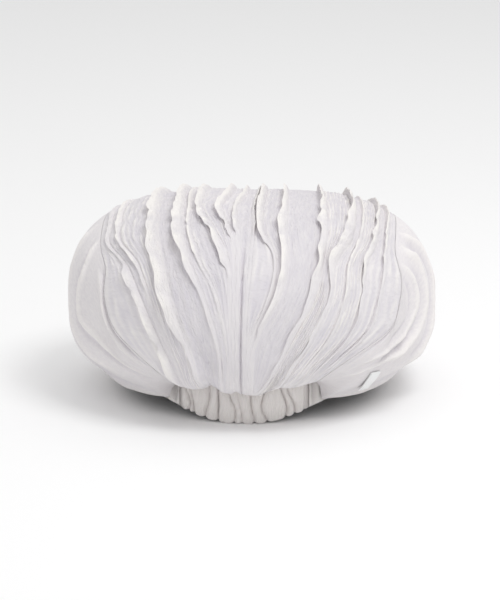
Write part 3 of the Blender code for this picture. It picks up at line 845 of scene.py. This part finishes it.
def buildSidePanel(side):
    angle = crownAngles(sidePanels["backColumns"], sidePanels["frontColumns"])
    share = (angle - angle[0]) / (angle[-1] - angle[0])
    seam = topPanel["leftSeam"] if side < 0 else topPanel["rightSeam"]
    start = crownPoint(smoothBetween(angle, seam), angle + hemDrawn(seam[0], angle))
    startOut = outward(start)
    cornerSeat = seatOnBand(start)
    seatEnds = cornerSeat[[0, -1]]
    ends = np.arctan2(np.abs(seatEnds[:, 0]) / band["halfWidth"], -seatEnds[:, 1] / band["halfLength"])
    ends = np.degrees(ends)
    turn = side * (ends[0] + (ends[1] - ends[0]) * share)
    low = underEdge(turn)
    fromSeam, toLow = unit(start - crown["middle"]), unit(low - crown["middle"])
    seat = bandPoint(turn, bandTop(turn) + band["seatGap"], band["wall"] / 2 - band["seatWidth"])
    wide = sidePanels["cornerShare"]
    corner = (1 - ease(share / wide) * ease((1 - share) / wide))[:, None]
    seed = 700 + 40 * (side > 0)
    waves = [Ripple(seed + number, (71.0, 37.0, 19.0)) for number in range(len(sidePanels["folds"]))]
    ripple = [Ripple(800 + 7 * number + (side > 0), (23.0, 12.0, 7.0)) for number in range(2)]
    ways = [foldWay(fold[-1]) for fold in sidePanels["folds"]]
    begin = sidePanels["underStart"]
    turning = begin + (1 - begin) * np.linspace(0, 1, sidePanels["turnRows"] + 1)[1:]
    apart = np.array([side * sidePanels["gap"], 0.0, 0.0])
    outer, inner, toneAndShade, grain = [], [], [], []
    for t in np.concatenate([np.linspace(0, begin, sidePanels["bodyRows"]), turning]):
        relief = np.zeros(share.shape)
        if t <= begin:
            base = onCrown(slerp(fromSeam, toLow, t / begin))
            out = outward(base)
            crinkle = sidePanels["crinkle"] * ripple[0](share * 100 + t * 60) * ripple[1](t * 70 + share * 31)
            relief = sideFolds(t, share, side, ways, waves) + crinkle
            relief = relief * (1 - corner[:, 0]) * ease(t / 0.03) * ease((begin - t) / 0.05)
            if side > 0:
                # flat under the label
                away = np.linalg.norm(base - labelMiddle(), axis=-1)
                relief = relief * ease((away - 0.5 * label["length"]) / label["length"])
            face = base + out * relief[:, None]
            back = base + out * (np.minimum(relief, 0.0) - crown["wall"])[:, None]
        else:
            face, back = turnedIn(low, outward(low), seat, (t - begin) / (1 - begin))
        cornerFace, cornerBack = turnedIn(start, startOut, cornerSeat, t)
        outer.append(face + (cornerFace - face) * corner + apart)
        inner.append((back + (cornerBack - back) * corner + apart)[::3])
        # the creases are painted darker and the folds lighter: painted shade and painted light
        toneAndShade.append(np.clip(0.32 + 0.22 * relief, 0, 1))
        grain.append(np.stack([1.2 * t + 0 * share, 4.0 * share], -1))
    name = "leftSidePanel" if side < 0 else "rightSidePanel"
    node = "left_side_panel" if side < 0 else "right_side_panel"
    return shell(name, outer, inner, "plain_crepe", grain, toneAndShade, (node,))


# The gathered elastic back band and the plain rest of the headband
gathers = {
    "count": 11,
    "columns": 330,
    "rows": 34,
    "depth": 4.6,
    "waist": 0.28,
    "hemLift": 1.5,
    "seed": 31,
    "shift": 0.26,
    "drift": 0.02,
    "width": 0.015,
    "fine": 0.25,
    "sunk": 0.4,
}


def buildBackBand():
    turns = np.linspace(-band["napeAngle"] + 0.1, band["napeAngle"] - 0.1, gathers["columns"])
    share = (turns + band["napeAngle"]) / (2 * band["napeAngle"])
    random = np.random.default_rng(gathers["seed"])
    count, shift, slide = gathers["count"], gathers["shift"], gathers["drift"]
    places = (np.arange(count) + 0.5 + random.uniform(-shift, shift, count)) / count
    drift = random.uniform(-slide, slide, count)
    deep = random.uniform(0.6, 1.0, count)
    inside = ease(np.sin(math.pi * share) * 5)
    outer, inner, toneAndShade, grain = [], [], [], []
    for height in np.linspace(0, 1, gathers["rows"]):
        bulge = np.ones(share.shape)
        for place, slide, cut in zip(places, drift, deep):
            at = place + slide * 1.8 * math.sin(3.6 * height + 9 * place)
            bulge = bulge - cut * np.exp(-np.abs((share - at) / gathers["width"]) ** 1.3)
        fine = gathers["fine"] * np.sin(share * 260 + 3 * math.sin(height * 7))
        fine = fine * (0.4 + 0.6 * math.sin(height * 5.0) ** 2)
        swell = math.sin(math.pi * (0.08 + 0.82 * height))
        puff = gathers["depth"] * (gathers["waist"] + (1 - gathers["waist"]) * swell)
        wave = (puff * np.clip(bulge, 0.0, 1.0) ** 0.7 + fine) * inside - gathers["sunk"]
        low = rimHeight(turns) + gathers["hemLift"] * (1 - np.clip(bulge, 0, 1)) * inside
        level = low + (bandTop(turns) - low) * height
        outer.append(bandPoint(turns, level, band["wall"] / 2 + wave))
        inner.append(bandPoint(turns, level, -band["wall"] / 2 + 0 * wave)[::4])
        # the hollows between the gathers are painted darker and their tops lighter: painted shade and painted
        # light
        toneAndShade.append(np.clip(0.15 + 0.28 * wave, 0, 1))
        grain.append(np.stack([1.0 * share, 0.3 * height + 0 * share], -1))
    return shell("backBand", outer, inner, "gathered_cloth", grain, toneAndShade, ("back_band",))


plainBand = {"columns": 400, "rows": 14, "hemRoll": 0.5, "uneven": 0.28, "gathers": 1.4, "gathersPast": 15.0}


def buildFrontBand():
    turns = np.linspace(band["napeAngle"] + 0.1, 360 - band["napeAngle"] - 0.1, plainBand["columns"])
    signed = np.where(turns > 180, turns - 360, turns)
    ripple = Ripple(61, (41.0, 23.0, 13.0, 7.0))
    outer, inner, toneAndShade, grain = [], [], [], []
    for height in np.linspace(0, 1, plainBand["rows"]):
        roll = plainBand["hemRoll"] * math.sin(math.pi * min(1.0, height * 4)) if height < 0.25 else 0.0
        # small gathers carry on a little way past the elastic
        gathered = ease((band["napeAngle"] + plainBand["gathersPast"] - np.abs(signed)) / 9)
        gathered = gathered * math.sin(math.pi * height) ** 0.5
        wave = plainBand["uneven"] * ripple(turns + 8 * height) + roll
        wave = wave + plainBand["gathers"] * gathered * np.sin(np.abs(signed) * 1.25 + 0.6 * height)
        level = rimHeight(signed) + (bandTop(signed) - rimHeight(signed)) * height
        outer.append(bandPoint(signed, level, band["wall"] / 2 + wave - 0.3))
        inner.append(bandPoint(signed, level, -band["wall"] / 2)[::3])
        # the band's low places are painted darker and its raised places lighter: painted shade and painted
        # light
        toneAndShade.append(np.clip(0.4 + wave, 0, 1))
        grain.append(np.stack([0.3 * height + 0 * turns, 0.015 * turns], -1))
    return shell("frontBand", outer, inner, "band_cloth", grain, toneAndShade, ("front_band",))


# The peak, plain cloth over a stiff form, with its edge rolled
peakLook = {
    "columns": 160,
    "rows": 44,
    "stitchRows": (0.22, 0.42, 0.62, 0.82, 0.93),
    "endShare": 0.17,
    "endPower": 2.6,
    "straight": 0.45,
    "quilt": 0.22,
    "soft": 0.12,
    "edge": 0.05,
}


def peakPlace(share, t):
    turn = 180 + peakSize["halfAngle"] * share
    narrow = (1 - peakLook["endShare"] ** 2) * np.abs(share) ** peakLook["endPower"]
    reach = peakSize["gap"] + peakSize["reach"] * t * np.sqrt(1 - narrow)
    root = bandPoint(turn, 0.0, band["wall"] / 2)
    out = unit(root[..., :2])
    lead = unit(out * (1 - peakLook["straight"]) + np.array([0.0, 1.0]) * peakLook["straight"])
    place = root.copy()
    place[..., :2] += lead * np.asarray(reach)[..., None]
    fall = np.clip((reach - peakSize["gap"]) / peakSize["reach"], 0, 1)
    place[..., 2] = peakSize["root"] - peakSize["drop"] * fall**0.9 + peakSize["arch"] * (1 - share**2) * fall
    return place


def buildPeak():
    share = np.linspace(-1, 1, peakLook["columns"])
    ripple = Ripple(91, (0.9, 0.43, 0.21))
    outer, inner, toneAndShade, grain = [], [], [], []
    up = np.array([0.0, 0.0, 1.0])
    for t in 1 - (1 - np.linspace(0, 1, peakLook["rows"])) ** 1.3:
        place = peakPlace(share, t)
        overEdge = max(0.0, (t - 1 + peakLook["edge"]) / peakLook["edge"])
        roll = math.sqrt(max(0.0, 1 - overEdge**2)) * 0.85 + 0.15
        near = (math.exp(-(((t - at) / 0.012) ** 2)) for at in peakLook["stitchRows"])
        quilt = -peakLook["quilt"] * sum(near)
        soft = peakLook["soft"] * ripple(share + 0.4 * t)
        lift = peakSize["thickness"] * (0.5 + roll / 2) + quilt + soft * (t < 0.97)
        outer.append(place + up * lift[:, None])
        inner.append(place + up * peakSize["thickness"] * (0.5 - roll / 2))
        # the quilted grooves along the stitches are painted darker: painted shade
        toneAndShade.append(np.clip(0.45 + 1.2 * quilt + soft, 0, 1))
        grain.append(np.stack([0.9 * share, 0.5 * t + 0 * share], -1))
    return shell("peakCover", outer, inner, "peak_cloth", grain, toneAndShade, ("peak",))


def buildLabel():
    middle = labelMiddle()
    out = outward(middle)
    along = np.array(label["along"])
    along = unit(along - out * (along @ out))
    wide = np.cross(out, along)
    outer, inner, toneAndShade, grain = [], [], [], []
    places = np.linspace(-label["width"] / 2, label["width"] / 2, 18)
    for step in np.linspace(0, 1, 34):
        down = label["length"] * (step - 0.5)
        flat = middle + along * down + wide * places[:, None]
        seat = onCrown(flat - crown["middle"])
        curl = label["curl"] * step**2.2 + label["wave"] * math.sin(step * 6) * (places / label["width"])
        curl = np.maximum(curl, 0.0)
        hem = label["hem"] * sum(math.exp(-(((step - at) / 0.03) ** 2)) for at in (0.06, 0.95))
        edge = label["edge"] * np.exp(-(((np.abs(places) - label["width"] / 2 + 0.5) / 0.35) ** 2))
        lift = label["lift"] + curl
        outer.append(seat + out * (lift + label["thickness"] + hem + edge)[:, None])
        inner.append(seat + out * lift[:, None])
        # the raised side edges are painted a little lighter: painted highlight
        toneAndShade.append(np.full(places.shape, 0.6) + edge)
        grain.append(np.stack([0.01 * places, 0.01 * down + 0 * places], -1))
    return shell("sideLabel", outer, inner, "label_tape", grain, toneAndShade, ("side_label",))


# in metres
stitching = {"Step": 0.0034, "Length": 0.0024, "Thickness": 0.00026}


def stitchTree():
    # stitches laid along a path: inputs are the step between them, their length and their thickness
    tree = bpy.data.node_groups.new("stitchRow", "GeometryNodeTree")
    face = tree.interface
    face.new_socket("Geometry", in_out="INPUT", socket_type="NodeSocketGeometry")
    for title, value in stitching.items():
        face.new_socket(title, in_out="INPUT", socket_type="NodeSocketFloat").default_value = value
    face.new_socket("Material", in_out="INPUT", socket_type="NodeSocketMaterial")
    face.new_socket("Geometry", in_out="OUTPUT", socket_type="NodeSocketGeometry")
    nodes, links = tree.nodes, tree.links
    start, end = nodes.new("NodeGroupInput"), nodes.new("NodeGroupOutput")
    kinds = "MeshToCurve CurveToPoints Transform InstanceOnPoints RealizeInstances SetMaterial".split()
    curve, spaced, shape, laid, real, paint = (nodes.new("GeometryNode" + kind) for kind in kinds)
    spaced.mode = "LENGTH"
    stitch = withInputs(nodes.new("GeometryNodeMeshUVSphere"), Segments=6, Rings=5, Radius=1.0)
    size = nodes.new("ShaderNodeCombineXYZ")
    half = nodes.new("ShaderNodeMath")
    half.operation = "MULTIPLY"
    half.inputs[1].default_value = 0.5
    wire(
        links,
        (start, "Geometry", curve, "Mesh"),
        (curve, "Curve", spaced, "Curve"),
        (start, "Step", spaced, "Length"),
        (stitch, "Mesh", shape, "Geometry"),
        (start, "Length", half, 0),
        (start, "Thickness", size, "X"),
        (start, "Thickness", size, "Y"),
        (half, 0, size, "Z"),
        (size, "Vector", shape, "Scale"),
        (spaced, "Points", laid, "Points"),
        (shape, "Geometry", laid, "Instance"),
        (spaced, "Rotation", laid, "Rotation"),
        (laid, "Instances", real, "Geometry"),
        (real, "Geometry", paint, "Geometry"),
        (start, "Material", paint, "Material"),
        (paint, "Geometry", end, "Geometry"),
    )
    return tree


def buildStitches(name, paths):
    # the paths become one mesh of edges, and the node tree lays a stitch at each step
    points, edges = [], []
    for path in paths:
        first = len(points)
        points += toFrame(path).tolist()
        edges += [(first + n, first + n + 1) for n in range(len(path) - 1)]
    mesh = bpy.data.meshes.new(name + "Path")
    mesh.from_pydata(points, edges, [])
    maker = inScene(name + "Maker", mesh)
    modifier = maker.modifiers.new("stitches", "NODES")
    modifier.node_group = stitchTree()
    for item in modifier.node_group.interface.items_tree:
        if item.in_out == "INPUT" and item.name in stitching:
            modifier[item.identifier] = stitching[item.name]
        if item.in_out == "INPUT" and item.name == "Material":
            modifier[item.identifier] = materials["thread"]
    bpy.context.view_layer.update()
    made = bpy.data.meshes.new_from_object(maker.evaluated_get(bpy.context.evaluated_depsgraph_get()))
    made.name = name
    bpy.data.objects.remove(maker, do_unlink=True)
    made.shade_smooth()
    return asPiece(name, made, "thread", ())


def peakStitchPaths():
    share = np.linspace(-0.93, 0.93, 120)
    up = np.array([0.0, 0.0, peakSize["thickness"] - 0.08])
    return [peakPlace(share, at) + up for at in peakLook["stitchRows"]]


def bandStitchPaths():
    turns = np.linspace(band["napeAngle"] + 2, 360 - band["napeAngle"] - 2, 300)
    signed = np.where(turns > 180, turns - 360, turns)
    return [bandPoint(signed, rimHeight(signed) + 2.6, band["wall"] / 2 + 0.1)]


buildTopPanel()
print("top panel made")
buildSidePanel(-1)
buildSidePanel(1)
print("side panels made")
buildBackBand()
buildFrontBand()
print("headband made")
buildPeak()
buildLabel()
print("peak and label made")
buildStitches("peakStitches", peakStitchPaths())
buildStitches("bandStitches", bandStitchPaths())
print("stitches laid")

# Floor, light and camera
studio = {
    "floor": 0.95,
    "floorHalf": 8.0,
    "aim": (0.0, 0.0, 0.07),
    "sky": 0.73,
    "key": {"turn": 52.0, "rise": 60.0, "away": 1.5, "size": 0.6, "watts": 7.0},
    "back": {"turn": 172.0, "rise": 74.0, "away": 1.8, "size": 2.2, "watts": 5.0},
}
# the picture's size and centre in pixels, one pixel's width in metres, and the lens sensor in millimetres
view = {
    "turn": 2.9,
    "rise": 15.0,
    "away": 1.9,
    "aim": (0.0, 0.0, 0.058),
    "pixel": 0.0007245,
    "centre": (250.5, 304.0),
    "size": (500, 600),
    "sensor": 36.0,
}


def around(turn, rise, away, aim):
    return Vector(aim) + away * Vector(wayOut(turn, rise))


def facing(thing, aim):
    thing.rotation_euler = (Vector(aim) - thing.location).to_track_quat("-Z", "Y").to_euler()


def buildStudio():
    material = bpy.data.materials.new("paleFloor")
    material.use_nodes = True
    pale = (studio["floor"], studio["floor"], studio["floor"], 1)
    withInputs(material.node_tree.nodes["Principled BSDF"], Base_Color=pale, Roughness=0.9)
    mesh = bpy.data.meshes.new("floor")
    far = studio["floorHalf"]
    mesh.from_pydata([(-far, -far, 0), (far, -far, 0), (far, far, 0), (-far, far, 0)], [], [(0, 1, 2, 3)])
    mesh.materials.append(material)
    floor = inScene("floor", mesh)
    world = bpy.data.worlds.new("softSky")
    bpy.context.scene.world = world
    world.use_nodes = True
    withInputs(world.node_tree.nodes["Background"], Color=(1, 1, 1, 1), Strength=studio["sky"])
    for name in ("key", "back"):
        spec = studio[name]
        lamp = bpy.data.lights.new(name, "AREA")
        lamp.size = spec["size"]
        lamp.energy = spec["watts"]
        thing = inScene(name, lamp)
        thing.location = around(spec["turn"], spec["rise"], spec["away"], studio["aim"])
        facing(thing, studio["aim"])


def buildCamera():
    lens = bpy.data.cameras.new("camera")
    lens.sensor_fit = "VERTICAL"
    lens.sensor_height = view["sensor"]
    lens.lens = view["away"] * view["sensor"] / (view["size"][1] * view["pixel"])
    camera = inScene("camera", lens)
    aim = Vector(view["aim"]) - Vector((0, planMiddle * 0.001, 0))
    camera.location = around(view["turn"], view["rise"], view["away"], aim)
    facing(camera, aim)
    turnMatrix = camera.rotation_euler.to_matrix()
    right, up = turnMatrix @ Vector((1, 0, 0)), turnMatrix @ Vector((0, 1, 0))
    (wide, tall), (x, y) = view["size"], view["centre"]
    slide = right * (wide / 2 - x) * view["pixel"] + up * (y - tall / 2) * view["pixel"]
    camera.location = camera.location + slide
    bpy.context.scene.camera = camera
    bpy.context.scene.view_settings.view_transform = "Standard"


buildStudio()
buildCamera()
print("studio and camera set")
